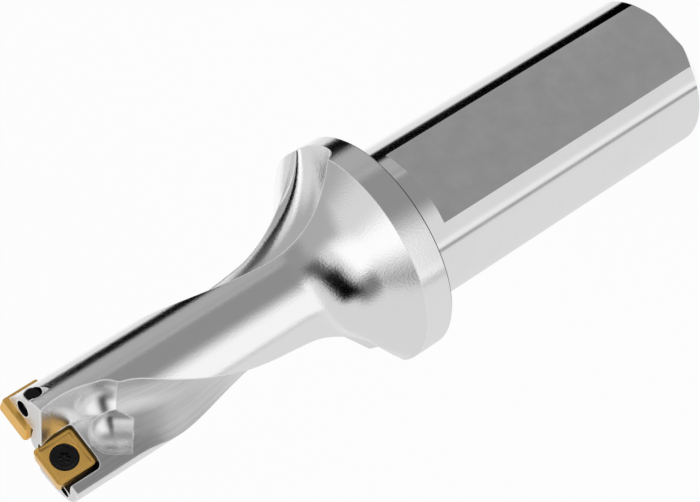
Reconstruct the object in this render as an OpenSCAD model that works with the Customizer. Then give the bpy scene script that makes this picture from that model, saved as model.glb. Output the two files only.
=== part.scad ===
// Indexable drill with a flanged shank and two square inserts.
// Lengths in millimetres. The drill stands on its shank end, tip up,
// and the shank flat faces +X.

/* [Shank] */
// Shank diameter, the size the holder clamps
shank_d = 25; // [24.5:0.1:25.4]
// Shank length from its end to the back of the flange
shank_len = 57.7; // [56:0.1:60]
// Distance from the axis to the clamping flat
flat_dist = 10.5; // [10.2:0.1:11]
// Distance from the flange back to the wall where the flat starts
flat_start = 5.2; // [4:0.1:8]
// Chamfer on the shank end
shank_chamfer = 1.6; // [1:0.1:2.2]
// Diameter of the coolant inlet bore in the shank end
inlet_d = 8; // [6:0.1:9]

/* [Flange] */
// Flange diameter
flange_d = 35.2; // [34:0.1:36]
// Width of the flange rim
rim_w = 4.85; // [4.4:0.05:5.4]
// Chamfer on the back edge of the rim
rim_chamfer = 0.3; // [0.2:0.05:0.5]
// Radius of the hollow curve between flange and body
flare_r = 14.5; // [13.8:0.1:15.2]
// Angle between the flare's cone and the drill axis, in degrees
flare_lean = 49.9; // [47:0.1:52]

/* [Body] */
// Diameter of the fluted body
body_d = 16.9; // [16.8:0.05:17]
// Height of the body end above the flange back, at the axis
body_end = 60.1; // [60:0.05:60.2]
// Slope of each half of the end face, in degrees
end_slope = 5.7; // [5:0.1:6.5]

/* [Flutes] */
// Diameter of the ball cutter that mills the flutes
flute_d = 9; // [8.8:0.05:9.2]
// Distance from the axis to the flat wall of a flute
flute_wall = 0.9; // [0.8:0.05:1]
// How far the flutes are milled past the axis
flute_depth = 0.82; // [0.7:0.02:0.9]
// How much shallower the outer flute is at the tip, where the inner pocket backs on to it
outer_rise = 1; // [0.9:0.05:1.2]
// Total twist of a flute, in degrees
flute_twist = 74; // [70:1:76]
// Height above the flange back where the twist is greatest
twist_low = 17.2; // [16.8:0.1:17.6]
// Length over which a flute turns from straight to full twist
twist_run = 29.8; // [29:0.1:30]
// Radius of the arc on which a flute leaves the flange
runout_r = 21; // [20:0.5:24]
// Height above the flange back where a flute leaves the rim
runout_end = 2.9; // [2.7:0.05:3.1]

/* [Inserts] */
// Side of the square insert
insert_side = 6.35; // [6.3:0.01:6.4]
// Thickness of the insert
insert_t = 2.38; // [2.3:0.01:2.45]
// Corner radius of the insert
insert_r = 0.5; // [0.45:0.01:0.6]
// Relief angle of the insert sides, in degrees
insert_relief = 7; // [6:0.5:8]
// Through hole of the insert
insert_hole_d = 2.8; // [2.75:0.01:2.9]
// How far the inner insert reaches past the axis
inner_past = 0.63; // [0.55:0.01:0.7]
// Distance from the axis to the outer insert's outer edge
outer_reach = 8.75; // [8.7:0.01:8.8]
// How far the inserts' front edges stand above the body end
insert_front = 1; // [0.95:0.01:1.05]

/* [Screws] */
// Thread diameter of the insert screws
screw_d = 2.5; // [2.4:0.05:2.6]
// Head diameter of the insert screws
head_d = 4.1; // [4:0.05:4.2]
// Height of the screw head's cone
head_cone = 0.9; // [0.8:0.05:1]
// Length of the screw below the insert's seat
screw_grip = 3.2; // [3:0.1:3.4]

/* [Clearances] */
// Gap between an insert and the walls that locate it, and between its hole and the screw head
seat_gap = 0.02; // [0.01:0.005:0.03]
// Gap round a screw in its tapped hole
thread_gap = 0.02; // [0.01:0.005:0.03]
// Width of the open slot outside the inner insert
slot_gap = 1.15; // [1:0.05:1.25]

/* [Hidden] */
$fn = 96;
body_r = body_d / 2;
flange_r = flange_d / 2;
shank_r = shank_d / 2;
ball_r = flute_d / 2;
// The insert's front edge and centre, measured from the flange back
front_z = body_end + insert_front;
mid_z = front_z - insert_side / 2;
inner_y = inner_past - insert_side / 2;
outer_y = outer_reach - insert_side / 2;
// Height where the flare's hollow curve starts, so that its cone ends on the rim
cone_rise = flange_r - body_r - flare_r * (1 - cos(flare_lean));
flare_top = rim_w + flare_r * sin(flare_lean) + cone_rise / tan(flare_lean);
// Distance from the cutter's side to its centre line
flute_mid = flute_wall + ball_r;
// Outer end of every cutter, well outside the flange
clear_r = 26;
// Coolant channel: where it leaves the end face, and its size
outlet_x = 3.95;
outlet_y = 5.2;
outlet_d = 2.5;
outlet_r = norm([outlet_x, outlet_y]);
outlet_turn = atan2(outlet_y, outlet_x);

// Where the twist starts to ease out, how much is left there, and where it ends
ease_z = twist_low + twist_run - 2.5;
ease_twist = flute_twist * (1 - pow((ease_z - twist_low) / twist_run, 2));
ease_len = ease_twist * pow(twist_run, 2) / (flute_twist * (ease_z - twist_low));
twist_end = ease_z + ease_len;

// Twist of the flutes at a height above the flange back
function twist(z) =
    z >= twist_end ? 0 :
    z > ease_z ? ease_twist * pow((twist_end - z) / ease_len, 2) :
    flute_twist * (1 - pow((z - twist_low) / twist_run, 2));

// Height at which the cutter starts to climb out along the run-out arc
climb = sqrt(pow(flange_r, 2) - pow(flute_mid, 2)) + flute_depth;
climb_start = runout_end + sqrt(pow(runout_r, 2) - pow(runout_r - climb, 2));
// How far the cutter's bottom has moved outward at a height
function lift(z) =
    z >= climb_start ? 0 :
    runout_r - sqrt(max(pow(runout_r, 2) - pow(climb_start - z, 2), 0));

// Cross-section of the cutter: round bottom, straight sides, open outward
function cutter(z, rise, n) =
    let (c = flute_depth - ball_r - lift(z) - rise * min(max((z - 36) / 12, 0), 1))
    concat(
        [for (i = [0:n]) [flute_mid + ball_r * sin(90 * i / n), c + ball_r * cos(90 * i / n)]],
        [[flute_mid + ball_r, c - 5], [flute_mid + ball_r, -clear_r - 6],
         [flute_wall, -clear_r - 6], [flute_wall, c - 5]],
        [for (i = [n:-1:1]) [flute_mid - ball_r * sin(90 * i / n), c + ball_r * cos(90 * i / n)]]
    );

function turned(p, a, z) = [p[0] * cos(a) - p[1] * sin(a), p[0] * sin(a) + p[1] * cos(a), z];

// Solid through a stack of equal rings of points, each ring clockwise from above
module skin(rings) {
    m = len(rings[0]);
    k = len(rings);
    pts = [for (r = rings) each r];
    sides = [for (j = [0:k - 2]) for (i = [0:m - 1]) let (a = j * m + i, b = j * m + (i + 1) % m)
        each [[a, b, b + m], [a, b + m, a + m]]];
    bottom = [for (i = [0:m - 1]) m - 1 - i];
    top = [for (i = [0:m - 1]) (k - 1) * m + i];
    polyhedron(points = pts, faces = concat([bottom], sides, [top]), convexity = 8);
}

// One twisted flute, from the rim run-out to past the tip
module flute(rise) {
    low = runout_end - 1.9;
    high = twist_end;
    steps = 40;
    heights = concat([for (i = [0:steps]) low + (high - low) * i / steps], [body_end + 4]);
    skin([for (z = heights) [for (p = cutter(z, rise, 10)) turned(p, -twist(z), z)]]);
}

// Chip room in front of an insert: flat floor and one bowed, slanting wall
module gullet(shift) {
    bow_r = 12;
    function bow(z) = bow_r - sqrt(pow(bow_r, 2) - pow(z - 56, 2));
    function wall(x, z) = 0.82 - shift - bow(z) + 0.24 * (x - flute_wall);
    function corner(z) = flute_wall + 0.62 * max(0, 50 - z);
    skin([for (z = [45:1.5:64.5]) let (x = corner(z))
        [[x, -12, z], [x, wall(x, z), z], [12, wall(12, z), z], [12, -12, z]]]);
}

// Hollows that ball cutters leave behind an insert, one in the floor and one in the wall
module scoop(shift) {
    translate([2.5, -3.6 - shift, 50.85]) {
        sphere(r = 3.5);
        rotate([0, 139.8, -73.9]) cylinder(r = 3.5, h = 2.6);
    }
    translate([5.2, -1.9 - shift, 51]) sphere(r = 4.5);
}

// Section of the insert across its thickness, narrower at the seat
module relief_section(grow, tall) {
    h = insert_side / 2 + grow;
    s = tan(insert_relief);
    polygon([[-insert_t, h - insert_t * s], [tall, h + tall * s],
             [tall, -h - tall * s], [-insert_t, -h + insert_t * s]]);
}

// Tapered block with the insert's side relief, rake face at x = 0
module relief_block(grow, tall) {
    flat = insert_side / 2 - insert_r;
    s = tan(insert_relief);
    translate([0, 0, -flat]) linear_extrude(2 * flat) relief_section(grow, tall);
    translate([0, flat, 0]) rotate([90, 0, 0]) linear_extrude(2 * flat) relief_section(grow, tall);
    for (y = [-flat, flat], z = [-flat, flat])
        translate([-insert_t, y, z]) rotate([0, 90, 0])
            cylinder(r1 = insert_r + grow - insert_t * s, r2 = insert_r + grow + tall * s,
                h = insert_t + tall);
}

// Countersunk hole through an insert
module insert_hole() {
    translate([-insert_t - 1, 0, 0]) rotate([0, 90, 0]) cylinder(d = insert_hole_d, h = insert_t + 2);
    translate([-head_cone - 0.25, 0, 0]) rotate([0, 90, 0])
        cylinder(d1 = insert_hole_d, d2 = head_d + 2 * seat_gap, h = head_cone);
    translate([-0.25, 0, 0]) rotate([0, 90, 0]) cylinder(d = head_d + 2 * seat_gap, h = 2);
}

// Chip breaker: a shallow sloped trough round a raised middle
module chip_breaker() {
    difference() {
        rotate([0, 90, 0]) rotate([0, 0, 45]) translate([0, 0, -0.22])
            cylinder(d1 = (insert_side - 2.2) * sqrt(2), d2 = (insert_side - 0.5) * sqrt(2),
                h = 0.22, $fn = 4);
        translate([-1, 0, 0]) rotate([0, 90, 0]) cylinder(d = head_d + 0.9, h = 2);
    }
}

// One insert, rake face at x = 0 looking along +X, centre on the x axis
module insert() {
    difference() {
        relief_block(0, 0);
        chip_breaker();
        insert_hole();
    }
}

// One screw with its head in the insert
module screw() {
    difference() {
        union() {
            translate([-insert_t - screw_grip, 0, 0]) rotate([0, 90, 0])
                cylinder(d = screw_d, h = screw_grip + insert_t - head_cone - 0.2);
            translate([-head_cone - 0.25, 0, 0]) rotate([0, 90, 0])
                cylinder(d1 = insert_hole_d - 2 * seat_gap, d2 = head_d, h = head_cone);
            translate([-0.25, 0, 0]) rotate([0, 90, 0]) cylinder(d = head_d, h = 0.15);
        }
        six_lobe();
    }
}

// Six-lobe socket in the screw head
module six_lobe() {
    translate([-1.05, 0, 0]) rotate([0, 90, 0]) {
        cylinder(d = 1.45, h = 2);
        for (a = [0:60:300])
            rotate([0, 0, a]) translate([0.68, 0, 0]) cylinder(d = 0.46, h = 2, $fn = 24);
    }
}

// Tapped hole for an insert screw, open on the body's outside with a chamfer
module screw_hole(exit_x) {
    translate([-12, 0, 0]) rotate([0, 90, 0]) cylinder(d = screw_d + 2 * thread_gap, h = 12);
    translate([-exit_x - 0.7, 0, 0]) rotate([0, 90, 0])
        cylinder(d1 = screw_d + 1.6, d2 = screw_d, h = 0.8);
}

// Room for an insert in the body, with an open slot on one side
module pocket(slot) {
    tall = flute_wall + 0.1;
    relief_block(seat_gap, tall);
    translate([-insert_t, -insert_side / 2 - slot + 1, -insert_side / 2 + 1])
        cube([insert_t + tall, insert_side / 2 + slot - 1, insert_side + 3]);
    translate([-insert_t, -insert_side / 2 - slot + 1, -insert_side / 2 - seat_gap])
        cube([insert_t + tall, slot, 2]);
    translate([-insert_t, -insert_side / 2 - slot + 1, -insert_side / 2 + 1 - seat_gap])
        rotate([0, 90, 0]) cylinder(r = 1, h = insert_t + tall);
    translate([-insert_t, -insert_side / 2 - slot, -insert_side / 2 + 1 - seat_gap])
        cube([insert_t + tall, slot, insert_side + 3]);
    linear_extrude(insert_side) relief_section(seat_gap, tall);
}

// Coolant channel from the inlet bore through one land to the end face
module coolant() {
    low = 4;
    high = twist_end;
    steps = 24;
    function way(z) = z > 24 ? outlet_r : 2.2 + (outlet_r - 2.2) * (z - low) / (24 - low);
    heights = concat([for (i = [0:steps]) low + (high - low) * i / steps], [body_end + 1]);
    skin([for (z = heights) let (a = outlet_turn - twist(z))
        [for (i = [0:15]) [way(z) * cos(a) + outlet_d / 2 * cos(-22.5 * i),
            way(z) * sin(a) + outlet_d / 2 * sin(-22.5 * i), z]]]);
}

// Turned blank: shank, flange, flare and body, with the seam of its surface clear of the flat
module blank() {
    steps = 14;
    rotate([0, 0, -67.5]) rotate_extrude() polygon(concat(
        [[0, -shank_len], [shank_r - shank_chamfer, -shank_len],
         [shank_r, shank_chamfer - shank_len], [shank_r, 0],
         [flange_r - rim_chamfer, 0], [flange_r, rim_chamfer], [flange_r, rim_w]],
        [for (i = [0:steps]) let (t = flare_lean * (1 - i / steps))
            [body_r + flare_r * (1 - cos(t)), flare_top - flare_r * sin(t)]],
        [[body_r, body_end + 0.05], [0, body_end + 0.05]]));
}

// Sloped end face of one half of the body
module end_cut() {
    translate([0, -12, body_end]) rotate([0, end_slope, 0]) translate([-1, 0, 0]) cube([15, 24, 6]);
}

module drill_body() {
    color("silver") translate([0, 0, shank_len]) difference() {
        blank();
        translate([flat_dist, -10, -shank_len - 1]) cube([10, 20, shank_len + 1 - flat_start]);
        flute(0);
        rotate([0, 0, 180]) flute(outer_rise);
        gullet(0);
        scoop(0);
        rotate([0, 0, 180]) gullet(2.4);
        rotate([0, 0, 180]) scoop(1);
        end_cut();
        rotate([0, 0, 180]) end_cut();
        translate([0, inner_y, mid_z]) pocket(slot_gap);
        translate([0, outer_y, mid_z]) rotate([0, 0, 180]) pocket(slot_gap);
        translate([0, inner_y, mid_z]) screw_hole(8.07);
        translate([0, outer_y, mid_z]) rotate([0, 0, 180]) screw_hole(6.36);
        coolant();
        rotate([0, 0, 180]) coolant();
        translate([0, 0, -shank_len - 1]) cylinder(d = inlet_d, h = shank_len + 7);
        translate([0, 0, -shank_len - 0.01]) cylinder(d1 = inlet_d + 2, d2 = inlet_d, h = 1);
    }
}

module inner_insert() {
    color("goldenrod") translate([0, inner_y, shank_len + mid_z]) insert();
}

module outer_insert() {
    color("goldenrod") translate([0, outer_y, shank_len + mid_z]) rotate([0, 0, 180]) insert();
}

module inner_insert_screw() {
    color("black") translate([0, inner_y, shank_len + mid_z]) screw();
}

module outer_insert_screw() {
    color("black") translate([0, outer_y, shank_len + mid_z]) rotate([0, 0, 180]) screw();
}

drill_body();
inner_insert();
outer_insert();
inner_insert_screw();
outer_insert_screw();
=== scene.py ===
import math

import bmesh
import bpy
from mathutils import Matrix, Vector


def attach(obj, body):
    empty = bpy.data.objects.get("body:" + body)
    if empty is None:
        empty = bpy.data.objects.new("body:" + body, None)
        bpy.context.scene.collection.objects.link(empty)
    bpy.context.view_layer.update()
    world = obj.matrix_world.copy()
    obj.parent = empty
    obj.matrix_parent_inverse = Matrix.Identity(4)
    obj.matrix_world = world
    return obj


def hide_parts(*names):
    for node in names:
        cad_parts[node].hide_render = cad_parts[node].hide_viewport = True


bl_info = {
    "name": "Indexable drill",
    "version": (1, 0, 0),
    "blender": (4, 5, 0),
    "location": "View3D > Sidebar > Drill",
    "description": "Builds an indexable drill with inserts and screws on a studio floor",
    "category": "Object",
}

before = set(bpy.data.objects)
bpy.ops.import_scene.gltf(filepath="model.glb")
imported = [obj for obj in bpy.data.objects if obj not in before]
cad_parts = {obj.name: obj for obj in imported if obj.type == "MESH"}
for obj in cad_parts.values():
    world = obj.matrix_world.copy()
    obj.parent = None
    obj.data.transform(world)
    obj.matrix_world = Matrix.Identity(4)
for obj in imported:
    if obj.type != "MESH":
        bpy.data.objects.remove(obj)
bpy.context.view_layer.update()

# Millimetres in a metre
PER_METRE = 1000


def length(label, text, value):
    """Length property in metres from a size in millimetres."""
    return bpy.props.FloatProperty(
        name=label, description=text, default=value / PER_METRE, min=0, precision=5,
        unit="LENGTH", subtype="DISTANCE")


def angle(label, text, value):
    """Angle property from degrees."""
    return bpy.props.FloatProperty(
        name=label, description=text, default=math.radians(value), unit="ROTATION", subtype="ANGLE")


def colour(label, text, value):
    """Colour property."""
    return bpy.props.FloatVectorProperty(
        name=label, description=text, default=value, size=3, min=0, max=1, subtype="COLOR")


def share(label, text, value):
    """Number from 0 to 1."""
    return bpy.props.FloatProperty(
        name=label, description=text, default=value, min=0, max=1, subtype="FACTOR")


class DrillSizes(bpy.types.PropertyGroup):
    """Sizes of the drill, as in its solid model. Heights are above the flange back."""

    shank_r: length("Shank radius", "Radius of the clamped shank", 12.5)
    shank_len: length("Shank length", "From the shank end to the flange back", 57.7)
    shank_chamfer: length("Shank chamfer", "Chamfer on the shank end", 1.6)
    flat_dist: length("Flat distance", "From the axis to the clamping flat", 10.5)
    flat_start: length("Flat start", "From the flange back to the wall where the flat starts", 5.2)
    inlet_r: length("Inlet radius", "Radius of the coolant inlet", 4)
    flange_r: length("Flange radius", "Radius of the flange rim", 17.592)
    rim_w: length("Rim width", "Width of the flange rim", 4.85)
    rim_chamfer: length("Rim chamfer", "Chamfer on the back edge of the rim", 0.3)
    flare_r: length("Flare radius", "Radius of the hollow curve below the body", 14.5)
    flare_lean: angle("Flare lean", "Angle between the flare's cone and the axis", 49.9)
    body_r: length("Body radius", "Radius of the fluted body", 8.45)
    body_end: length("Body end", "Height of the body end at the axis", 60.1)
    end_slope: angle("End slope", "Slope of each half of the end face", 5.7)
    ball_r: length("Flute cutter radius", "Radius of the ball cutter that mills the flutes", 4.5)
    flute_wall: length("Flute wall", "From the axis to the flat wall of a flute", 0.9)
    flute_depth: length("Flute depth", "How far the flutes are milled past the axis", 0.82)
    outer_rise: length("Outer rise", "How much shallower the outer flute is at the tip", 1)
    flute_twist: angle("Flute twist", "Total twist of a flute", 74)
    twist_low: length("Twist low", "Height where the twist is greatest", 17.2)
    twist_run: length("Twist run", "Length over which a flute turns", 29.8)
    runout_r: length("Run-out radius", "Radius of the arc on which a flute leaves the flange", 21)
    runout_end: length("Run-out end", "Height where a flute leaves the rim", 2.9)
    outlet_x: length("Outlet x", "Place of a coolant outlet on the end face", 3.95)
    outlet_y: length("Outlet y", "Place of a coolant outlet on the end face", 5.2)
    outlet_r: length("Outlet radius", "Radius of a coolant outlet", 1.25)
    insert_side: length("Insert side", "Side of the square insert", 6.35)
    insert_t: length("Insert thickness", "Thickness of the insert", 2.38)
    insert_r: length("Insert corner", "Corner radius of the insert", 0.5)
    insert_relief: angle("Insert relief", "Relief angle of the insert sides", 7)
    insert_hole: length("Insert hole radius", "Radius of the insert's through hole", 1.4)
    inner_past: length("Inner insert past axis", "How far the inner insert reaches past the axis", 0.63)
    outer_reach: length("Outer insert reach", "From the axis to the outer insert's outer edge", 8.75)
    insert_front: length("Insert front", "How far the inserts stand above the body end", 1)
    slot_gap: length("Slot gap", "Width of the slot outside an insert", 1.15)
    screw_r: length("Screw radius", "Thread radius of the insert screws", 1.25)
    screw_grip: length("Screw grip", "Length of a screw below the insert's seat", 3.2)
    head_r: length("Head radius", "Head radius of the insert screws", 2.05)


class DrillFinish(bpy.types.PropertyGroup):
    """Colours and gloss of the drill's surfaces."""

    steel: colour("Steel", "Colour of the plated steel", (0.93, 0.93, 0.935))
    gold: colour("Gold", "Colour of the coated inserts", (0.96, 0.55, 0.13))
    black: colour("Black", "Colour of the blackened screws", (0.004, 0.004, 0.005))
    blasted: share("Blasted roughness", "Roughness of the blasted body", 0.12)
    ground: share("Ground roughness", "Roughness of the ground shank", 0.08)
    milled: share("Milled roughness", "Roughness of the clamping flat", 0.25)
    polished: share("Polished roughness", "Roughness of the flutes", 0.28)


def mm(name):
    """A size of the drill in millimetres."""
    return getattr(bpy.context.scene.drill_sizes, name) * PER_METRE


def metres(name):
    """A size of the drill in metres, as the materials see it."""
    return mm(name) / PER_METRE


def turn(name):
    """An angle of the drill in radians."""
    return getattr(bpy.context.scene.drill_sizes, name)


# Shader expressions


class Value:
    """A shader socket that Python operators can combine."""

    def __init__(self, tree, socket):
        self.tree = tree
        self.socket = socket

    def math(self, operation, *terms):
        node = self.tree.nodes.new("ShaderNodeMath")
        node.operation = operation
        for place, term in zip(node.inputs, terms):
            if isinstance(term, Value):
                self.tree.links.new(term.socket, place)
            else:
                place.default_value = term
        return Value(self.tree, node.outputs[0])

    def __add__(self, other):
        return self.math("ADD", self, other)

    def __radd__(self, other):
        return self.math("ADD", other, self)

    def __sub__(self, other):
        return self.math("SUBTRACT", self, other)

    def __rsub__(self, other):
        return self.math("SUBTRACT", other, self)

    def __mul__(self, other):
        return self.math("MULTIPLY", self, other)

    def __rmul__(self, other):
        return self.math("MULTIPLY", other, self)

    def __truediv__(self, other):
        return self.math("DIVIDE", self, other)


class Finish:
    """A material under construction."""

    def __init__(self, name, base, metallic, rough):
        self.material = bpy.data.materials.new(name)
        self.material.use_nodes = True
        self.tree = self.material.node_tree
        self.shader = self.tree.nodes["Principled BSDF"]
        self.shader.inputs["Base Color"].default_value = (*base, 1)
        self.shader.inputs["Metallic"].default_value = metallic
        self.shader.inputs["Roughness"].default_value = rough
        self.place = self.node("ShaderNodeTexCoord").outputs["Object"]

    def node(self, kind, settings=None, sockets=None):
        made = self.tree.nodes.new(kind)
        for key, value in (settings or {}).items():
            setattr(made, key, value)
        for key, value in (sockets or {}).items():
            if isinstance(value, Value):
                value = value.socket
            if isinstance(value, bpy.types.NodeSocket):
                self.tree.links.new(value, made.inputs[key])
            else:
                made.inputs[key].default_value = value
        return made

    def value(self, node, output=0):
        return Value(self.tree, node.outputs[output])

    def axes(self):
        parts = self.node("ShaderNodeSeparateXYZ", sockets={0: self.place})
        return [self.value(parts, i) for i in range(3)]

    def vector(self, x, y, z):
        return self.node("ShaderNodeCombineXYZ", sockets={0: x, 1: y, 2: z}).outputs[0]

    def noise(self, scale, detail=2.0, vector=None, rough=0.5):
        return self.value(self.node(
            "ShaderNodeTexNoise", sockets={
                "Vector": vector or self.place, "Scale": scale, "Detail": detail, "Roughness": rough}))

    def ramp(self, across, low, high, top=1.0):
        """Smooth step from 0 to a top value between two places."""
        return self.value(self.node(
            "ShaderNodeMapRange", {"interpolation_type": "SMOOTHSTEP"},
            {0: across, 1: low, 2: high, 3: 0.0, 4: top}))

    def feed(self, name, value):
        socket = value.socket if isinstance(value, Value) else value
        self.tree.links.new(socket, self.shader.inputs[name])

    def tinted(self, colour, tone):
        """Colour times a varying tone."""
        mix = self.node(
            "ShaderNodeMix", {"data_type": "RGBA", "blend_type": "MULTIPLY"}, {"Factor": 1.0, 7: tone})
        mix.inputs[6].default_value = (*colour, 1)
        return mix.outputs[2]

    def relief(self, height, distance, strength, edge, painted_highlight=0.0, lip=0.00034):
        """Fine relief on the surface, over edges that are rounded by a small radius, with a painted highlight
        on those edges if asked.
        """
        sockets = {"Height": height, "Distance": distance, "Strength": strength}
        sockets["Normal"] = self.node("ShaderNodeBevel", {"samples": 8}, {"Radius": edge}).outputs[0]
        self.feed("Normal", self.node("ShaderNodeBump", sockets=sockets).outputs[0])
        # Painted highlight: along the edges the metal turns partly diffuse, so they read lighter
        if painted_highlight:
            wide = self.node("ShaderNodeBevel", {"samples": 12}, {"Radius": lip}).outputs[0]
            face = self.node("ShaderNodeNewGeometry").outputs["Normal"]
            along = self.node("ShaderNodeVectorMath", {"operation": "DOT_PRODUCT"}, {0: wide, 1: face})
            bent = 1 - self.value(along, "Value")
            self.feed("Metallic", 1 - self.ramp(bent, 0.004, 0.05, painted_highlight))


def finish_colours():
    """Colours and gloss that the user set."""
    return bpy.context.scene.drill_finish


def blasted_steel():
    """Plated steel with the fine grain that blasting leaves."""
    c = finish_colours()
    f = Finish("blasted_steel", c.steel, 1, c.blasted)
    grain = f.noise(3300, 3, rough=0.6)
    cloud = f.noise(260, 3)
    f.feed("Roughness", c.blasted - 0.05 + 0.1 * cloud)
    # Painted highlight along the edges of the flange and body, none on the shank
    back = metres("shank_len")
    front = f.ramp(f.axes()[2], back + 0.001, back + 0.0015)
    f.relief(grain, distance=0.00004, strength=0.4, edge=0.00012, painted_highlight=0.8 * front)
    return f.material


def ground_steel():
    """Ground shank with fine rings left by the wheel."""
    c = finish_colours()
    f = Finish("ground_steel", c.steel, 1, c.ground)
    x, y, z = f.axes()
    rings = f.noise(1.0, 3, f.vector(x * 40, y * 40, z * 9000))
    patch = f.noise(120, 3)
    f.feed("Roughness", c.ground - 0.04 + 0.08 * patch + 0.05 * rings)
    f.feed("Base Color", f.tinted(c.steel, 0.94 + 0.07 * patch + 0.05 * rings))
    f.relief(rings, distance=0.000004, strength=0.12, edge=0.00012)
    return f.material


def milled_steel():
    """Matte clamping flat."""
    c = finish_colours()
    f = Finish("milled_steel", c.steel, 1, c.milled)
    x, y, z = f.axes()
    lines = f.noise(1.0, 3, f.vector(x * 100, y * 7000, z * 600))
    patch = f.noise(300, 4)
    f.feed("Roughness", c.milled - 0.06 + 0.12 * patch)
    f.feed("Base Color", f.tinted(c.steel, 0.86 + 0.2 * patch + 0.08 * lines))
    f.relief(lines, distance=0.000006, strength=0.15, edge=0.0001)
    return f.material


def flute_steel():
    """Flute that is polished near the flange, with cutter lines that follow the twist above it."""
    c = finish_colours()
    f = Finish("flute_steel", c.steel, 1, c.polished)
    x, y, z = f.axes()
    run = (z - (mm("shank_len") + mm("twist_low")) / PER_METRE) / metres("twist_run")
    bend = turn("flute_twist") * (1 - run * run)
    bend = bend.math("MAXIMUM", bend, 0)
    cos = bend.math("COSINE", bend)
    sin = bend.math("SINE", bend)
    close, along = 2600, 60
    grooves = f.vector((x * cos - y * sin) * close, (x * sin + y * cos) * close, z * along)
    lines = f.noise(1.0, 4, grooves, 0.65)
    patch = f.noise(220, 3)
    low = metres("shank_len") + 0.02
    lined = f.ramp(z, low, low + 0.016)
    gloss = 0.06
    f.feed("Roughness", gloss + 0.05 * patch + lined * (c.polished - gloss + 0.08 * lines))
    f.feed("Base Color", f.tinted(c.steel, 1 - lined * (0.44 - 0.42 * lines)))
    # Painted highlight along the flute's edges
    f.relief(lines, distance=0.00004, strength=0.5, edge=0.00012, painted_highlight=0.8)
    return f.material


def bright_steel(name, rough, scale, depth=0.00001):
    """Bright machined face with faint cutter marks."""
    c = finish_colours()
    f = Finish(name, c.steel, 1, rough)
    x, y, z = f.axes()
    marks = f.noise(1.0, 2, f.vector(x * scale, y * scale * 0.15, z * scale * 0.4))
    patch = f.noise(400, 3)
    f.feed("Roughness", rough - 0.04 + 0.08 * patch)
    # Painted highlight along the face's edges
    f.relief(marks, distance=depth, strength=0.25, edge=0.0001, painted_highlight=0.8, lip=0.0005)
    return f.material


def painted_shade_steel():
    """Pocket walls, bores and the rim's back edge, painted near black for the shade that falls in them."""
    f = Finish("pocket_steel", (0.06, 0.06, 0.062), 1, 0.4)
    mottle = f.noise(900, 3)
    f.feed("Roughness", 0.32 + 0.16 * mottle)
    f.relief(mottle, distance=0.000008, strength=0.2, edge=0.00005)
    return f.material


def gold_coat():
    """Satin gold coating on sintered carbide."""
    c = finish_colours()
    f = Finish("gold_coat", c.gold, 0.62, 0.24)
    grain = f.noise(9000, 2)
    cloud = f.noise(700, 3)
    tint = f.node("ShaderNodeMix", {"data_type": "RGBA"}, {"Factor": cloud})
    tint.inputs[6].default_value = (*[k * 0.93 for k in c.gold], 1)
    tint.inputs[7].default_value = (*[min(1, k * 1.07) for k in c.gold], 1)
    f.feed("Base Color", tint.outputs[2])
    f.feed("Roughness", 0.2 + 0.08 * cloud)
    f.relief(grain, distance=0.000006, strength=0.18, edge=0.00006)
    return f.material


def black_oxide():
    """Blackened screw steel with an oily gloss."""
    c = finish_colours()
    f = Finish("black_oxide", c.black, 0.0, 0.26)
    f.shader.inputs["Specular IOR Level"].default_value = 0.3
    cloud = f.noise(2500, 3)
    f.feed("Roughness", 0.08 + 0.1 * cloud)
    f.relief(cloud, distance=0.00001, strength=0.1, edge=0.00004)
    return f.material


# Shapes, in millimetres from the flange back until they are placed

# Steps round the turned blank and along the curve of its flare
BLANK_STEPS = 288
FLARE_STEPS = 60
# Stock left above the end face for the end cuts, and a distance that is past the body on every side
END_STOCK = 0.05
OUTSIDE = 12
# Play between a piece and its room
PLAY = 0.02
# Insert pocket: its corner radius, the corner radius of the slot beside it, how far outwards and forwards
# it is cut past the metal, and how much of the insert's outer side stays covered
POCKET_CORNER = 0.5
SLOT_CORNER = 1
POCKET_SPARE = 0.1
POCKET_FRONT = 3
POCKET_COVER = 0.3
# How far before the end of its run the twist starts to ease out
TWIST_EASE = 2.5
# Rings along a flute, steps over its round bottom, and how far below and above the metal its cutter goes
FLUTE_RINGS = 160
FLUTE_STEPS = 44
FLUTE_BELOW = 1.9
FLUTE_ABOVE = 4
# How far out a flute's cutter has points on its straight sides, and how far from the axis it ends
FLUTE_SIDE = 5
FLUTE_FAR = 32
# Height and length of the ramp on which the outer flute gets shallower
RISE_LOW = 36
RISE_RUN = 12
# Chip room: its low end, the step and number of its rings, the radius and height of its bowed wall,
# the lean and foot of that wall, and the ramp at the low end of its floor
ROOM_LOW = 45
ROOM_STEP = 0.3
ROOM_RINGS = 66
BOW_R = 12
BOW_Z = 56
ROOM_LEAN = 0.24
WALL_FOOT = 0.82
RAMP_SLOPE = 0.62
RAMP_TOP = 50
# How far the outer insert's chip room and hollows lie further from the axis than the inner insert's
OUTER_ROOM = 2.4
OUTER_HOLLOW = 1
# Screw hole radius, the two radii of its wide mouth on the body's surface, and that mouth's distance from
# the insert's face
SCREW_HOLE_R = 1.27
MOUTH_R = 2.05
MOUTH_END_R = 1.25
INNER_MOUTH = 8.07
OUTER_MOUTH = 6.36
# Low end of the coolant outlets
OUTLET_LOW = 44


def object_from(bm, name, materials):
    """Mesh object from a bmesh, which is freed."""
    mesh = bpy.data.meshes.new(name)
    bm.to_mesh(mesh)
    bm.free()
    for material in materials:
        mesh.materials.append(material)
    made = bpy.data.objects.new(name, mesh)
    bpy.context.scene.collection.objects.link(made)
    return made


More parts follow.
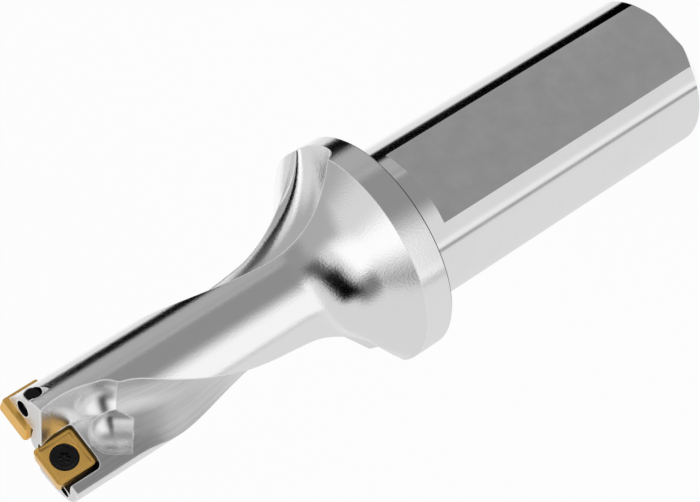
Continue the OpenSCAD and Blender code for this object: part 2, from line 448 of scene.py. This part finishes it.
def skin(rings, capped=True):
    """Closed shell through a stack of equal rings of points."""
    bm = bmesh.new()
    around = len(rings[0])
    along = len(rings) - 1
    bmesh.ops.create_grid(bm, x_segments=around, y_segments=along, size=0.5)
    for vert in bm.verts:
        i = round((vert.co.x + 0.5) * around) % around
        j = round((vert.co.y + 0.5) * along)
        vert.co = rings[j][i]
    bmesh.ops.remove_doubles(bm, verts=bm.verts, dist=1e-5)
    if capped:
        rims = [edge for edge in bm.edges if edge.is_boundary]
        bmesh.ops.holes_fill(bm, edges=rims, sides=0)
    bmesh.ops.recalc_face_normals(bm, faces=bm.faces)
    return bm


def block(low, high):
    """Box between two corners."""
    bm = bmesh.new()
    bmesh.ops.create_cube(bm, size=1)
    size = [b - a for a, b in zip(low, high)]
    mid = [(a + b) / 2 for a, b in zip(low, high)]
    bmesh.ops.scale(bm, vec=size, verts=bm.verts)
    bmesh.ops.translate(bm, vec=mid, verts=bm.verts)
    return bm


def tube(start, axis, r0, r1, tall, steps=64):
    """Cone or cylinder from a start point along an axis."""
    bm = bmesh.new()
    bmesh.ops.create_cone(
        bm, cap_ends=True, segments=steps, radius1=r0, radius2=r1, depth=tall,
        matrix=Matrix.Translation((0, 0, tall / 2)))
    spin = Vector((0, 0, 1)).rotation_difference(Vector(axis)).to_matrix()
    bmesh.ops.rotate(bm, cent=(0, 0, 0), matrix=spin, verts=bm.verts)
    bmesh.ops.translate(bm, vec=start, verts=bm.verts)
    return bm


def half_turn(bm):
    """The same shape on the drill's other side."""
    bmesh.ops.rotate(bm, cent=(0, 0, 0), matrix=Matrix.Rotation(math.pi, 3, "Z"), verts=bm.verts)
    return bm


def shifted(bm, offset):
    """The same shape, moved."""
    bmesh.ops.translate(bm, vec=offset, verts=bm.verts)
    return bm


def carve(body, bm, material):
    """Takes a cutter away from the body and leaves its material on the cut."""
    cutter = object_from(bm, "cutter", [material])
    cut = body.modifiers.new("carve", "BOOLEAN")
    cut.operation = "DIFFERENCE"
    cut.solver = "MANIFOLD"
    cut.material_mode = "TRANSFER"
    cut.object = cutter
    graph = bpy.context.evaluated_depsgraph_get()
    mesh = bpy.data.meshes.new_from_object(body.evaluated_get(graph))
    body.modifiers.clear()
    old = body.data
    body.data = mesh
    bpy.data.meshes.remove(old)
    used = cutter.data
    bpy.data.objects.remove(cutter)
    bpy.data.meshes.remove(used)


def smooth(made, limit):
    """Smooth shading with crisp edges past an angle."""
    made.data.shade_smooth()
    made.data.set_sharp_from_angle(angle=math.radians(limit))


def put(made, slot, *nodes):
    """Moves a finished piece from the flange frame into the row's frame in metres."""
    made.data.transform(Matrix.Scale(1 / PER_METRE, 4) @ Matrix.Translation((0, 0, mm("shank_len"))))
    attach(made, "root")
    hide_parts(*nodes)


def twist_end():
    """Where the twist starts to ease out, how much is left there, and the length of the easing."""
    start = mm("twist_low") + mm("twist_run") - TWIST_EASE
    run = (start - mm("twist_low")) / mm("twist_run")
    left = turn("flute_twist") * (1 - run * run)
    return start, left, left * mm("twist_run") / (turn("flute_twist") * run)


def twist(z):
    """Twist of the flutes at a height."""
    start, left, ease = twist_end()
    if z >= start + ease:
        return 0
    if z > start:
        return left * ((start + ease - z) / ease) ** 2
    run = (z - mm("twist_low")) / mm("twist_run")
    return turn("flute_twist") * (1 - run * run)


def turned(x, y, z, a):
    """A point turned round the drill's axis."""
    return Vector((x * math.cos(a) - y * math.sin(a), x * math.sin(a) + y * math.cos(a), z))


def blank(shank, body, edge):
    """Turned blank: shank, flange, flare and body, with materials for shank, body and the rim's back edge,
    which is painted in shade.
    """
    lean = turn("flare_lean")
    cone = mm("flange_r") - mm("body_r") - mm("flare_r") * (1 - math.cos(lean))
    flare_top = mm("rim_w") + mm("flare_r") * math.sin(lean) + cone / math.tan(lean)
    back = -mm("shank_len")
    profile = [
        (0, back), (mm("shank_r") - mm("shank_chamfer"), back), (mm("shank_r"), back + mm("shank_chamfer")),
        (mm("shank_r"), 0), (mm("flange_r") - mm("rim_chamfer"), 0), (mm("flange_r"), mm("rim_chamfer")),
        (mm("flange_r"), mm("rim_w"))]
    for i in range(FLARE_STEPS + 1):
        a = lean * (1 - i / FLARE_STEPS)
        profile.append((
            mm("body_r") + mm("flare_r") * (1 - math.cos(a)), flare_top - mm("flare_r") * math.sin(a)))
    top = mm("body_end") + END_STOCK
    profile += [(mm("body_r"), top), (0, top)]
    bm = bmesh.new()
    line = [bm.verts.new((r, 0, z)) for r, z in profile]
    edges = [bm.edges.new(pair) for pair in zip(line, line[1:])]
    bmesh.ops.spin(
        bm, geom=line + edges, cent=(0, 0, 0), axis=(0, 0, 1), angle=2 * math.pi, steps=BLANK_STEPS,
        use_merge=True)
    bmesh.ops.remove_doubles(bm, verts=bm.verts, dist=1e-4)
    bmesh.ops.recalc_face_normals(bm, faces=bm.faces)
    for face in bm.faces:
        height = face.calc_center_median().z
        on_shank = height < -1e-3
        # The rim's back chamfer takes painted shade, a dark line where the gap behind the flange is shaded
        on_edge = 1e-3 < height < mm("rim_chamfer")
        face.material_index = 0 if on_shank else 2 if on_edge else 1
    return object_from(bm, "drill_body_visual", [shank, body, edge])


def flute(rise):
    """One twisted flute, from the rim run-out to past the tip."""
    ball = mm("ball_r")
    mid = mm("flute_wall") + ball
    climb = math.sqrt(mm("flange_r") ** 2 - mid ** 2) + mm("flute_depth")
    arc = mm("runout_r")
    start = mm("runout_end") + math.sqrt(arc ** 2 - (arc - climb) ** 2)
    low = mm("runout_end") - FLUTE_BELOW
    start_ease, _, ease = twist_end()
    high = start_ease + ease
    heights = [low + (high - low) * i / FLUTE_RINGS for i in range(FLUTE_RINGS + 1)]
    heights.append(mm("body_end") + FLUTE_ABOVE)
    rings = []
    for z in heights:
        lift = 0 if z >= start else arc - math.sqrt(max(arc ** 2 - (start - z) ** 2, 0))
        c = mm("flute_depth") - ball - lift - rise * min(max((z - RISE_LOW) / RISE_RUN, 0), 1)
        ring = [
            (mid - ball * math.cos(math.pi * i / FLUTE_STEPS), c + ball * math.sin(math.pi * i / FLUTE_STEPS))
            for i in range(FLUTE_STEPS + 1)]
        ring += [
            (mid + ball, c - FLUTE_SIDE), (mid + ball, -FLUTE_FAR), (mm("flute_wall"), -FLUTE_FAR),
            (mm("flute_wall"), c - FLUTE_SIDE)]
        rings.append([turned(x, y, z, -twist(z)) for x, y in ring])
    return skin(rings)


def gullet(shift):
    """Chip room in front of an insert: flat floor and one bowed, slanting wall."""
    floor = mm("flute_wall")
    rings = []
    for i in range(ROOM_RINGS):
        z = ROOM_LOW + ROOM_STEP * i
        x = floor + RAMP_SLOPE * max(0, RAMP_TOP - z)
        foot = WALL_FOOT - shift - BOW_R + math.sqrt(BOW_R ** 2 - (z - BOW_Z) ** 2)
        rings.append([
            Vector((x, -OUTSIDE, z)), Vector((x, foot + ROOM_LEAN * (x - floor), z)),
            Vector((OUTSIDE, foot + ROOM_LEAN * (OUTSIDE - floor), z)), Vector((OUTSIDE, -OUTSIDE, z))])
    return skin(rings)


def ball_groove(start, axis, r, tall):
    """Ball with a short round groove that leads away from it along an axis."""
    count, back, front = 96, 32, 24
    bends = [math.pi / 2 * i / back for i in range(1, back + 1)]
    stations = [(-r * math.cos(a), r * math.sin(a)) for a in bends]
    if tall:
        stations.append((tall, r))
    first = math.acos(tall / r)
    bends = [first * (1 - i / front) for i in range(front)]
    stations += [(r * math.cos(a), r * math.sin(a)) for a in bends]
    lean = Vector((0, 0, 1)).rotation_difference(Vector(axis))
    rings = []
    turns = [2 * math.pi * k / count for k in range(count)]
    for along, reach in stations:
        rings.append([
            Vector(start) + lean @ Vector((reach * math.cos(a), reach * math.sin(a), along)) for a in turns])
    return skin(rings)


def scoops(shift):
    """Hollows that ball cutters leave behind an insert, one in the floor and one in the wall."""
    return [
        ball_groove(start=(2.5, -3.6 - shift, 50.85), axis=(0.179, -0.62, -0.764), r=3.5, tall=2.6),
        ball_groove(start=(5.2, -1.9 - shift, 51), axis=(0.1, 0.2, -1), r=4.5, tall=0)]


def insert_place(inner):
    """Centre of an insert's rake face."""
    half = mm("insert_side") / 2
    edge = mm("inner_past") if inner else mm("outer_reach")
    return Vector((0, edge - half, mm("body_end") + mm("insert_front") - half))


def seat(bm, inner):
    """Moves a shape from an insert's own frame to the insert."""
    if not inner:
        half_turn(bm)
    return shifted(bm, insert_place(inner))


def rounded_square(half, corner, count):
    """Points round a square with round corners, from the middle of the +y side."""
    flat = half - corner
    points = []
    for i in range(count):
        a = 2 * math.pi * (i + 0.5) / count
        y, z = math.cos(a), math.sin(a)
        scale = half / max(abs(y), abs(z))
        py, pz = y * scale, z * scale
        if abs(py) > flat and abs(pz) > flat:
            cy, cz = math.copysign(flat, py), math.copysign(flat, pz)
            b = cy * y + cz * z
            reach = b + math.sqrt(max(b * b - (cy * cy + cz * cz - corner * corner), 0))
            py, pz = y * reach, z * reach
        points.append((py, pz))
    return points


def pocket_block():
    """Room for an insert, with its side relief."""
    half = mm("insert_side") / 2 + PLAY
    slope = math.tan(turn("insert_relief"))
    rings = []
    for x in (-mm("insert_t"), mm("flute_wall") + POCKET_SPARE):
        outline = rounded_square(half + x * slope, POCKET_CORNER + x * slope * 0.5, 96)
        rings.append([Vector((x, y, z)) for y, z in outline])
    return skin(rings)


def insert_shape():
    """Square insert with an edge land, a trough and a raised star round the screw."""
    count = 160
    half = mm("insert_side") / 2
    thick = mm("insert_t")
    drop = thick * math.tan(turn("insert_relief"))
    head = mm("head_r") + PLAY
    turns = [2 * math.pi * (i + 0.5) / count for i in range(count)]
    hole = mm("insert_hole")

    def square(inset, corner):
        return rounded_square(half - inset, max(corner - inset * 0.6, 0.08), count)

    def circle(r):
        return [(r * math.cos(a), r * math.sin(a)) for a in turns]

    def star(reach, power):
        points = []
        for a in turns:
            d = a - math.pi / 4
            r = reach / (abs(math.cos(d)) ** power + abs(math.sin(d)) ** power) ** (1 / power)
            points.append((r * math.cos(a), r * math.sin(a)))
        return points

    def between(a, b, t):
        return [(p[0] + (q[0] - p[0]) * t, p[1] + (q[1] - p[1]) * t) for p, q in zip(a, b)]

    corner = mm("insert_r")
    land = square(0.22, corner)
    middle = star(3.62, 0.86)
    rim = circle(head + 0.2)
    trough, steps = 0.05, 12
    stations = [
        (circle(hole), -thick), (square(drop, corner), -thick), (square(0.004, corner), -0.05),
        (square(0.0, corner), -0.025), (square(0.02, corner), -0.006), (square(0.05, corner), 0),
        (land, -0.006)]
    for t in (i / steps for i in range(1, steps)):
        stations.append((between(land, middle, t), -0.006 - trough * math.sin(math.pi * t ** 0.8) ** 2))
    stations += [
        (middle, -0.012), (between(middle, rim, 0.12), -0.004), (between(middle, rim, 0.6), 0),
        (circle(head + 0.18), 0), (circle(head + 0.06), -0.03),
        (circle(head), -0.1), (circle(head), -0.26), (circle(hole), -1.15), (circle(hole), -thick)]
    return skin([[Vector((x, y, z)) for y, z in ring] for ring, x in stations], capped=False)


def screw_shape():
    """Screw with a dished head and a six-lobe socket."""
    count = 144
    head = mm("head_r")
    thread = mm("screw_r")
    foot = -mm("insert_t") - mm("screw_grip")

    def ring(r, lobe=0.0):
        points = []
        for a in (2 * math.pi * i / count for i in range(count)):
            reach = r + lobe * math.cos(6 * a)
            points.append((reach * math.cos(a), reach * math.sin(a)))
        return points

    stations = [
        (ring(0.05), -1.12), (ring(0.5, 0.07), -1.0), (ring(0.72, 0.12), -0.92), (ring(0.74, 0.125), -0.3),
        (ring(0.78, 0.12), -0.22), (ring(0.9, 0.1), -0.19), (ring(1.15, 0.02), -0.17), (ring(1.45), -0.17),
        (ring(1.58), -0.15), (ring(1.68), -0.11), (ring(1.8), -0.1), (ring(1.93), -0.115),
        (ring(2.02), -0.16), (ring(head), -0.22), (ring(head), -0.26),
        (ring(mm("insert_hole") - PLAY), -1.14),
        (ring(thread), -1.3), (ring(thread), foot + 0.25), (ring(thread - 0.2), foot)]
    return skin([[Vector((x, y, z)) for y, z in points] for points, x in stations])


class DRILL_OT_body(bpy.types.Operator):
    """Builds the drill body with its flutes, pockets and holes"""

    bl_idname = "drill.body"
    bl_label = "Drill body"

    def execute(self, context):
        ground = ground_steel()
        blasted = blasted_steel()
        milled = milled_steel()
        fluted = flute_steel()
        chip_room = bright_steel("gullet_steel", 0.28, 1800, 0.00004)
        faced = bright_steel("end_steel", 0.55, 4000)
        # Near-black steel that paints the shade in pockets, slots, holes and on the rim's back edge
        shade_painted = painted_shade_steel()
        body = blank(ground, blasted, shade_painted)
        back = -mm("shank_len")
        flat = block((mm("flat_dist"), -OUTSIDE, back - 1), (20, OUTSIDE, -mm("flat_start")))
        carve(body, flat, milled)
        carve(body, flute(0), fluted)
        carve(body, half_turn(flute(mm("outer_rise"))), fluted)
        carve(body, gullet(0), chip_room)
        carve(body, half_turn(gullet(OUTER_ROOM)), chip_room)
        for near, far in zip(scoops(0), scoops(OUTER_HOLLOW)):
            carve(body, near, chip_room)
            carve(body, half_turn(far), chip_room)
        slope = Matrix.Rotation(turn("end_slope"), 3, "Y")
        for other_side in (False, True):
            cap = block((-1, -OUTSIDE, 0), (14, OUTSIDE, 6))
            bmesh.ops.rotate(cap, cent=(0, 0, 0), matrix=slope, verts=cap.verts)
            shifted(cap, (0, 0, mm("body_end")))
            carve(body, half_turn(cap) if other_side else cap, faced)
        half = mm("insert_side") / 2
        side, low, front = -half - mm("slot_gap"), -half - PLAY, half + POCKET_FRONT
        deep, top = -mm("insert_t"), mm("flute_wall") + POCKET_SPARE
        r = SLOT_CORNER
        across, up = (1, 0, 0), (0, 0, 1)
        # Insert pockets, slots and screw holes are painted in shade; the screw holes' mouths take the end
        # face's steel
        for inner in (True, False):
            mouth = INNER_MOUTH if inner else OUTER_MOUTH
            for cutter, left in (
                    (pocket_block(), shade_painted),
                    (block((deep, side, -half + r), (top, 0, front)), shade_painted),
                    (block((deep, side + r, low), (top, -half + r, half)), shade_painted),
                    (tube((deep, side + r, low + r), across, r, r, top - deep, 48), shade_painted),
                    (block((deep, -half + POCKET_COVER, 0), (top, half + PLAY, front)), shade_painted),
                    (tube((-OUTSIDE, 0, 0), across, SCREW_HOLE_R, SCREW_HOLE_R, OUTSIDE), shade_painted),
                    (tube((-mouth - 0.7, 0, 0), across, MOUTH_R, MOUTH_END_R, 0.8), faced)):
                carve(body, seat(cutter, inner), left)
        # Coolant outlets and the inlet are painted in shade as well
        outlet = mm("outlet_r")
        for way in (1, -1):
            spot = (way * mm("outlet_x"), way * mm("outlet_y"), OUTLET_LOW)
            carve(body, tube(spot, up, outlet, outlet, 20), shade_painted)
        inlet = mm("inlet_r")
        carve(body, tube((0, 0, back - 1), up, inlet, inlet, mm("shank_len") + 7), shade_painted)
        carve(body, tube((0, 0, back - 0.01), up, inlet + 1, inlet, 1), shade_painted)
        smooth(body, 24)
        put(body, "steel", "drill_body")
        return {"FINISHED"}


class DRILL_OT_inserts(bpy.types.Operator):
    """Builds the two square inserts"""

    bl_idname = "drill.inserts"
    bl_label = "Inserts"

    def execute(self, context):
        coat = gold_coat()
        for inner, node in ((True, "inner_insert"), (False, "outer_insert")):
            made = object_from(seat(insert_shape(), inner), node + "_visual", [coat])
            smooth(made, 32)
            put(made, "carbide", node)
        return {"FINISHED"}


class DRILL_OT_screws(bpy.types.Operator):
    """Builds the two insert screws"""

    bl_idname = "drill.screws"
    bl_label = "Insert screws"

    def execute(self, context):
        oxide = black_oxide()
        for inner, node in ((True, "inner_insert_screw"), (False, "outer_insert_screw")):
            made = object_from(seat(screw_shape(), inner), node + "_visual", [oxide])
            smooth(made, 40)
            put(made, "screw_steel", node)
        return {"FINISHED"}


# Stage, in metres

# The camera's axes, place and lens, fitted to the photograph
RIGHT = Vector((0.179098, -0.619437, -0.764344))
UP = Vector((0.483543, 0.732016, -0.479936))
BACK = Vector((0.856802, -0.283637, 0.430627))
CAMERA_PLACE = (0.2849, -0.0936, 0.2050)
LENS = 115.73
SENSOR = 36
# Shank radius and distance of its flat, where the cards on the floor start, the flat's half width, and the
# height of the neck
MAT_EDGE = 0.0125
FLAT_FACE = 0.0105
FLAT_HALF = 0.0075
NECK = 0.066
# How much of the floor glows for the camera and the metal, and the grey of the room
FLOOR_GLOW = 0.94
ROOM_GREY = 0.7


def pale_floor():
    """Pale floor that looks white to the camera and in the metal, and still takes a shadow."""
    bm = bmesh.new()
    bmesh.ops.create_grid(bm, x_segments=1, y_segments=1, size=2.5)
    f = Finish("pale_floor", (0.8, 0.8, 0.8), 0, 0.9)
    rays = f.node("ShaderNodeLightPath")
    camera, glossy, through = [
        f.value(rays, name) for name in ("Is Camera Ray", "Is Glossy Ray", "Is Transmission Ray")]
    seen = camera + glossy + through
    seen = seen.math("MINIMUM", seen, 1)
    glow = f.node("ShaderNodeEmission", sockets={"Color": (1, 1, 1, 1), "Strength": 1.0})
    mix = f.node(
        "ShaderNodeMixShader", sockets={0: seen * FLOOR_GLOW, 1: f.shader.outputs[0], 2: glow.outputs[0]})
    f.tree.links.new(mix.outputs[0], f.tree.nodes["Material Output"].inputs[0])
    return object_from(bm, "floor", [f.material])


def mat(view, first, last, height, far=0.45):
    """Places on the floor that the drill's upright faces mirror, between two directions in degrees."""
    def place(u, v):
        a = math.radians(first + (last - first) * u)
        side = (a + math.radians(view)) / 2
        reach = 0.001 + far * v
        return Vector((
            MAT_EDGE * math.cos(side) + reach * math.cos(a),
            MAT_EDGE * math.sin(side) + reach * math.sin(a), height))
    return place


def strip(view, height):
    """Places on the floor that the shank's flat mirrors."""
    a = -math.radians(view)

    def place(u, v):
        reach = 0.16 * v
        return Vector((
            FLAT_FACE + reach * math.cos(a), FLAT_HALF * (2 * u - 1) + reach * math.sin(a), height))
    return place


def sky(first, last, low, high, tilt, reach):
    """Places round the drill's neck, between two directions and two heights in degrees."""
    def place(u, v):
        a = math.radians(first + (last - first) * u)
        e = math.radians(min(89, low + (high - low) * v + tilt * (0.5 - u)))
        return Vector((
            reach * math.cos(a) * math.cos(e), reach * math.sin(a) * math.cos(e), NECK + reach * math.sin(e)))
    return place


def card(place, soft, shade):
    """Studio card that only shows in reflections, with a softness for its first, last, near and far edge."""
    bm = bmesh.new()
    bm.loops.layers.uv.new("UVMap")
    bmesh.ops.create_grid(bm, x_segments=60, y_segments=6, size=0.5, calc_uvs=True)
    for vert in bm.verts:
        vert.co = place(vert.co.x + 0.5, vert.co.y + 0.5)
    f = Finish("card_shade", (0, 0, 0), 0, 1)
    f.shader.inputs["Specular IOR Level"].default_value = 0
    f.shader.inputs["Emission Color"].default_value = (shade, shade, shade, 1)
    f.shader.inputs["Emission Strength"].default_value = 1
    spread = f.node("ShaderNodeSeparateXYZ", sockets={0: f.node("ShaderNodeTexCoord").outputs["UV"]})
    u, v = f.value(spread, 0), f.value(spread, 1)
    alpha = u * 0 + 1
    for across, width in zip((u, 1 - u, v, 1 - v), soft):
        if width:
            alpha = alpha * f.ramp(across, 0, width)
    f.feed("Alpha", alpha)
    made = object_from(bm, "card", [f.material])
    made.visible_camera = False
    made.visible_diffuse = False
    made.visible_shadow = False


def softbox(spot, size, glow):
    """Square lamp that looks at the drill's middle."""
    lamp = bpy.data.lights.new("softbox", "AREA")
    lamp.shape = "SQUARE"
    lamp.size = size
    lamp.energy = glow * math.pi * size * size
    made = bpy.data.objects.new("softbox", lamp)
    aim = (Vector((0, 0, 0.06)) - spot).to_track_quat("-Z", "Y").to_matrix().to_4x4()
    made.matrix_world = Matrix.Translation(spot) @ aim
    made.visible_glossy = False
    bpy.context.scene.collection.objects.link(made)


class DRILL_OT_stage(bpy.types.Operator):
    """Builds the camera, the floor and the studio light"""

    bl_idname = "drill.stage"
    bl_label = "Stage"

    def execute(self, context):
        scene = context.scene
        camera = bpy.data.objects.new("camera", bpy.data.cameras.new("camera"))
        scene.collection.objects.link(camera)
        camera.data.sensor_width = SENSOR
        camera.data.lens = LENS
        camera.data.clip_start = 0.01
        turned_to = Matrix((RIGHT, UP, BACK)).transposed()
        camera.matrix_world = Matrix.Translation(CAMERA_PLACE) @ turned_to.to_4x4()
        scene.camera = camera

        floor = pale_floor()
        view = math.degrees(math.atan2(BACK.y, BACK.x))
        # Where each card is, how soft its edges are, and how bright it is
        for place, soft, shade in (
                (mat(view, -200, -70, 0.0003, 1.5), (0, 0.09, 0, 0), 0.73),
                (mat(view, -76, 20, 0.0004, 0.135), (0.12, 0.1, 0, 0.12), 0.72),
                (mat(view, 98, 145, 0.0003), (0, 0.6, 0, 0), 0.78),
                (mat(view, 40, 92, 0.0003), (0.16, 0, 0, 0), 0.41),
                (mat(view, -39, 58, 0.0006), (0.37, 0.24, 0, 0), 0.28),
                (mat(view, 75, 111, 0.0009), (0.3, 0.2, 0, 0), 0.0),
                (mat(view, -84, -76, 0.0007), (0.45, 0.45, 0, 0), 0.58),
                (mat(view, -84, -76, 0.0009, 0.115), (0.45, 0.45, 0, 0), 0.32),
                (strip(view, 0.0001), (0, 0, 0, 0), 0.28),
                (strip(view, 0.0012), (0, 0, 0, 0), 0.28),
                (sky(-25, 70, -12, 30, 0, 0.46), (0.25, 0.2, 0, 0.4), 0.3),
                (sky(5, 125, 5, 60, 0, 0.45), (0.2, 0.3, 0.25, 0.3), 0.42),
                (sky(-78, 32, 38, 88, 20, 0.44), (0.3, 0.35, 0.2, 0.2), 1.05),
                (sky(-106, -50, 24, 68, 0, 0.43), (0.35, 0.4, 0.3, 0.3), 0.2),
                (sky(-34, 16, 0, 30, 14, 0.42), (0.35, 0.35, 0.35, 0.35), 0.1),
                (sky(-90, -8, 9, 42, 10, 0.41), (0.2, 0.25, 0.25, 0.3), 0.0)):
            card(place, soft, shade)
        softbox(spot=Vector((0.25, -0.2, 0.7)), size=0.55, glow=1.2)

        world = bpy.data.worlds.new("studio")
        scene.world = world
        world.use_nodes = True
        background = world.node_tree.nodes["Background"]
        background.inputs["Color"].default_value = (ROOM_GREY, ROOM_GREY, ROOM_GREY, 1)
        background.inputs["Strength"].default_value = 1
        scene.view_settings.view_transform = "Standard"
        return {"FINISHED"}


class DRILL_PT_panel(bpy.types.Panel):
    """Lists the drill's pieces"""

    bl_idname = "DRILL_PT_panel"
    bl_label = "Drill"
    bl_space_type = "VIEW_3D"
    bl_region_type = "UI"
    bl_category = "Drill"

    def draw(self, context):
        for made in (DRILL_OT_body, DRILL_OT_inserts, DRILL_OT_screws, DRILL_OT_stage):
            self.layout.operator(made.bl_idname)
        for group in (context.scene.drill_sizes, context.scene.drill_finish):
            for name in group.__annotations__:
                self.layout.prop(group, name)


CLASSES = (
    DrillSizes, DrillFinish, DRILL_OT_body, DRILL_OT_inserts, DRILL_OT_screws, DRILL_OT_stage, DRILL_PT_panel)


def register():
    for item in CLASSES:
        bpy.utils.register_class(item)
    bpy.types.Scene.drill_sizes = bpy.props.PointerProperty(type=DrillSizes)
    bpy.types.Scene.drill_finish = bpy.props.PointerProperty(type=DrillFinish)


def unregister():
    del bpy.types.Scene.drill_finish
    del bpy.types.Scene.drill_sizes
    for item in reversed(CLASSES):
        bpy.utils.unregister_class(item)


def main():
    register()
    bpy.ops.drill.body()
    bpy.ops.drill.inserts()
    bpy.ops.drill.screws()
    bpy.ops.drill.stage()


if __name__ == "__main__":
    main()
